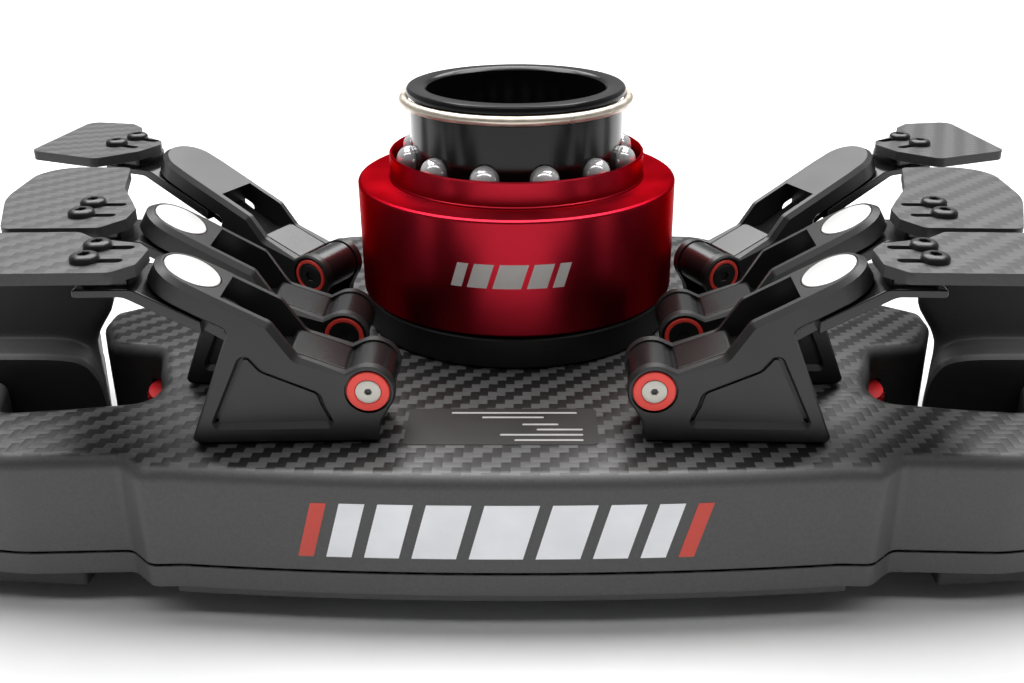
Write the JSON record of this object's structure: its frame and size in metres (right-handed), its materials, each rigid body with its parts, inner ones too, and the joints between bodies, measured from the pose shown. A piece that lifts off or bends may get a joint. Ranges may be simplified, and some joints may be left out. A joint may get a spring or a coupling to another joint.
{
  "type": "racing wheel",
  "caption": "Formula-style sim racing wheel: carbon housing, two open-ended rubber grips, ball-lock quick release with red collar, paddles, buttons, knobs and a front display.",
  "frame": {"origin": "on the steering axis, at the housing's flat rear face inside the quick release's bore", "axes": "+Z along the steering axis from the driver towards the wheel base, -Y towards the wheel's top edge, +X to the right as seen looking along +Y; it lies on the front of its grips, 36 mm below the origin"},
  "size_m": [0.29, 0.146, 0.0937],
  "materials": {
    "carbon_fibre": "satin carbon twill",
    "black_anodised_aluminium": "black anodised, satin",
    "grip_rubber": "matt moulded rubber",
    "red_anodised_aluminium": "red anodised, satin",
    "bright_steel": "polished",
    "red_plastic": "semi-gloss",
    "black_plastic": "matt moulded",
    "circuit_board": "solder mask",
    "screen_glass": "polished cover"
  },
  "bodies": {
    "housing": {"back_shell": "carbon_fibre", "front_plate": "carbon_fibre", "display_bezel": "black_plastic", "display_panel": "screen_glass", "main_board": "circuit_board", "grip_rear_left": "grip_rubber", "grip_rear_right": "grip_rubber", "grip_front_left": "grip_rubber", "grip_front_right": "grip_rubber", "hub_spacer": "black_anodised_aluminium", "qr_tube": "black_anodised_aluminium", "qr_snap_ring": "bright_steel", "qr_spring": "bright_steel", "shifter_bracket_left": "black_anodised_aluminium", "shifter_bracket_right": "black_anodised_aluminium", "shifter_pin_left": "red_anodised_aluminium", "shifter_pin_right": "red_anodised_aluminium", "rocker_bracket_left": "black_anodised_aluminium", "rocker_bracket_right": "black_anodised_aluminium", "rocker_pin_left": "red_anodised_aluminium", "rocker_pin_right": "red_anodised_aluminium", "clutch_bracket_left": "black_anodised_aluminium", "clutch_bracket_right": "black_anodised_aluminium", "clutch_pin_left": "red_anodised_aluminium", "clutch_pin_right": "red_anodised_aluminium"},
    "collar": {"qr_collar": "red_anodised_aluminium"},
    "ball_01": {"qr_ball_01": "bright_steel"},
    "ball_02": {"qr_ball_02": "bright_steel"},
    "ball_03": {"qr_ball_03": "bright_steel"},
    "ball_04": {"qr_ball_04": "bright_steel"},
    "ball_05": {"qr_ball_05": "bright_steel"},
    "ball_06": {"qr_ball_06": "bright_steel"},
    "ball_07": {"qr_ball_07": "bright_steel"},
    "ball_08": {"qr_ball_08": "bright_steel"},
    "ball_09": {"qr_ball_09": "bright_steel"},
    "ball_10": {"qr_ball_10": "bright_steel"},
    "ball_11": {"qr_ball_11": "bright_steel"},
    "ball_12": {"qr_ball_12": "bright_steel"},
    "shifter_left": {"shifter_lever_left": "black_anodised_aluminium", "shifter_blade_left": "carbon_fibre"},
    "shifter_right": {"shifter_lever_right": "black_anodised_aluminium", "shifter_blade_right": "carbon_fibre"},
    "rocker_left": {"rocker_lever_left": "black_anodised_aluminium", "rocker_blade_left": "carbon_fibre"},
    "rocker_right": {"rocker_lever_right": "black_anodised_aluminium", "rocker_blade_right": "carbon_fibre"},
    "clutch_left": {"clutch_lever_left": "black_anodised_aluminium", "clutch_blade_left": "carbon_fibre"},
    "clutch_right": {"clutch_lever_right": "black_anodised_aluminium", "clutch_blade_right": "carbon_fibre"},
    "button_upper_left_cap": {"button_upper_left": "red_plastic"},
    "button_upper_right_cap": {"button_upper_right": "red_plastic"},
    "button_middle_left_cap": {"button_middle_left": "red_plastic"},
    "button_middle_right_cap": {"button_middle_right": "red_plastic"},
    "button_lower_left_cap": {"button_lower_left": "red_plastic"},
    "button_lower_right_cap": {"button_lower_right": "red_plastic"},
    "rotary_knob_left_body": {"rotary_knob_left": "black_anodised_aluminium"},
    "thumb_roller_left_body": {"thumb_roller_left": "red_plastic"},
    "rotary_knob_right_body": {"rotary_knob_right": "black_anodised_aluminium"},
    "thumb_roller_right_body": {"thumb_roller_right": "red_plastic"}
  },
  "joints": [
    {"name": "collar_slide", "type": "slide", "parent": "housing", "child": "collar", "axis": [0, 0, 1], "range_m": [0, 0.006], "deforming": ["qr_spring"]},
    {"name": "ball_01_slide", "type": "slide", "parent": "housing", "child": "ball_01", "axis": [-0.9659, -0.2588, 0], "range_m": [0, 0.0021]},
    {"name": "ball_02_slide", "type": "slide", "parent": "housing", "child": "ball_02", "axis": [-0.7071, -0.7071, 0], "range_m": [0, 0.0021]},
    {"name": "ball_03_slide", "type": "slide", "parent": "housing", "child": "ball_03", "axis": [-0.2588, -0.9659, 0], "range_m": [0, 0.0021]},
    {"name": "ball_04_slide", "type": "slide", "parent": "housing", "child": "ball_04", "axis": [0.2588, -0.9659, 0], "range_m": [0, 0.0021]},
    {"name": "ball_05_slide", "type": "slide", "parent": "housing", "child": "ball_05", "axis": [0.7071, -0.7071, 0], "range_m": [0, 0.0021]},
    {"name": "ball_06_slide", "type": "slide", "parent": "housing", "child": "ball_06", "axis": [0.9659, -0.2588, 0], "range_m": [0, 0.0021]},
    {"name": "ball_07_slide", "type": "slide", "parent": "housing", "child": "ball_07", "axis": [0.9659, 0.2588, 0], "range_m": [0, 0.0021]},
    {"name": "ball_08_slide", "type": "slide", "parent": "housing", "child": "ball_08", "axis": [0.7071, 0.7071, 0], "range_m": [0, 0.0021]},
    {"name": "ball_09_slide", "type": "slide", "parent": "housing", "child": "ball_09", "axis": [0.2588, 0.9659, 0], "range_m": [0, 0.0021]},
    {"name": "ball_10_slide", "type": "slide", "parent": "housing", "child": "ball_10", "axis": [-0.2588, 0.9659, 0], "range_m": [0, 0.0021]},
    {"name": "ball_11_slide", "type": "slide", "parent": "housing", "child": "ball_11", "axis": [-0.7071, 0.7071, 0], "range_m": [0, 0.0021]},
    {"name": "ball_12_slide", "type": "slide", "parent": "housing", "child": "ball_12", "axis": [-0.9659, 0.2588, 0], "range_m": [0, 0.0021]},
    {"name": "shifter_left_hinge", "type": "hinge", "parent": "housing", "child": "shifter_left", "pos_m": [-0.02855, -0.0642, 0.0114], "axis": [0.0314, -0.9995, 0], "range_deg": [0, 4.5], "stiffness_Nm_per_rad": 0.6, "springref_deg": -17.19},
    {"name": "shifter_right_hinge", "type": "hinge", "parent": "housing", "child": "shifter_right", "pos_m": [0.02855, -0.0642, 0.0114], "axis": [0.0314, 0.9995, 0], "range_deg": [0, 4.5], "stiffness_Nm_per_rad": 0.6, "springref_deg": -17.19},
    {"name": "rocker_left_hinge", "type": "hinge", "parent": "housing", "child": "rocker_left", "pos_m": [-0.03764, -0.0372, 0.0114], "axis": [0.0314, -0.9995, 0], "range_deg": [0, 4.5], "stiffness_Nm_per_rad": 0.6, "springref_deg": -17.19},
    {"name": "rocker_right_hinge", "type": "hinge", "parent": "housing", "child": "rocker_right", "pos_m": [0.03764, -0.0372, 0.0114], "axis": [0.0314, 0.9995, 0], "range_deg": [0, 4.5], "stiffness_Nm_per_rad": 0.6, "springref_deg": -17.19},
    {"name": "clutch_left_hinge", "type": "hinge", "parent": "housing", "child": "clutch_left", "pos_m": [-0.04854, -0.00096, 0.0114], "axis": [-0.4305, -0.9026, 0], "range_deg": [0, 9], "stiffness_Nm_per_rad": 0.9, "springref_deg": -6.88},
    {"name": "clutch_right_hinge", "type": "hinge", "parent": "housing", "child": "clutch_right", "pos_m": [0.04854, -0.00096, 0.0114], "axis": [-0.4305, 0.9026, 0], "range_deg": [0, 9], "stiffness_Nm_per_rad": 0.9, "springref_deg": -6.88},
    {"name": "button_upper_left_slide", "type": "slide", "parent": "housing", "child": "button_upper_left_cap", "axis": [0, 0, 1], "range_m": [0, 0.0015], "stiffness_N_per_m": 800, "springref_m": -0.001},
    {"name": "button_upper_right_slide", "type": "slide", "parent": "housing", "child": "button_upper_right_cap", "axis": [0, 0, 1], "range_m": [0, 0.0015], "stiffness_N_per_m": 800, "springref_m": -0.001},
    {"name": "button_middle_left_slide", "type": "slide", "parent": "housing", "child": "button_middle_left_cap", "axis": [0, 0, 1], "range_m": [0, 0.0015], "stiffness_N_per_m": 800, "springref_m": -0.001},
    {"name": "button_middle_right_slide", "type": "slide", "parent": "housing", "child": "button_middle_right_cap", "axis": [0, 0, 1], "range_m": [0, 0.0015], "stiffness_N_per_m": 800, "springref_m": -0.001},
    {"name": "button_lower_left_slide", "type": "slide", "parent": "housing", "child": "button_lower_left_cap", "axis": [0, 0, 1], "range_m": [0, 0.0015], "stiffness_N_per_m": 800, "springref_m": -0.001},
    {"name": "button_lower_right_slide", "type": "slide", "parent": "housing", "child": "button_lower_right_cap", "axis": [0, 0, 1], "range_m": [0, 0.0015], "stiffness_N_per_m": 800, "springref_m": -0.001},
    {"name": "rotary_knob_left_spin", "type": "hinge", "parent": "housing", "child": "rotary_knob_left_body", "pos_m": [-0.024, 0.038, -0.03], "axis": [0, 0, 1], "continuous": true},
    {"name": "thumb_roller_left_spin", "type": "hinge", "parent": "housing", "child": "thumb_roller_left_body", "pos_m": [-0.0788, -0.029, -0.012], "axis": [0, 0, 1], "continuous": true},
    {"name": "rotary_knob_right_spin", "type": "hinge", "parent": "housing", "child": "rotary_knob_right_body", "pos_m": [0.024, 0.038, -0.03], "axis": [0, 0, 1], "continuous": true},
    {"name": "thumb_roller_right_spin", "type": "hinge", "parent": "housing", "child": "thumb_roller_right_body", "pos_m": [0.0788, -0.029, -0.012], "axis": [0, 0, 1], "continuous": true}
  ],
  "couplings": [
    {"joint": "ball_01_slide", "follows": "collar_slide", "ratio": 0.35},
    {"joint": "ball_02_slide", "follows": "collar_slide", "ratio": 0.35},
    {"joint": "ball_03_slide", "follows": "collar_slide", "ratio": 0.35},
    {"joint": "ball_04_slide", "follows": "collar_slide", "ratio": 0.35},
    {"joint": "ball_05_slide", "follows": "collar_slide", "ratio": 0.35},
    {"joint": "ball_06_slide", "follows": "collar_slide", "ratio": 0.35},
    {"joint": "ball_07_slide", "follows": "collar_slide", "ratio": 0.35},
    {"joint": "ball_08_slide", "follows": "collar_slide", "ratio": 0.35},
    {"joint": "ball_09_slide", "follows": "collar_slide", "ratio": 0.35},
    {"joint": "ball_10_slide", "follows": "collar_slide", "ratio": 0.35},
    {"joint": "ball_11_slide", "follows": "collar_slide", "ratio": 0.35},
    {"joint": "ball_12_slide", "follows": "collar_slide", "ratio": 0.35}
  ]
}
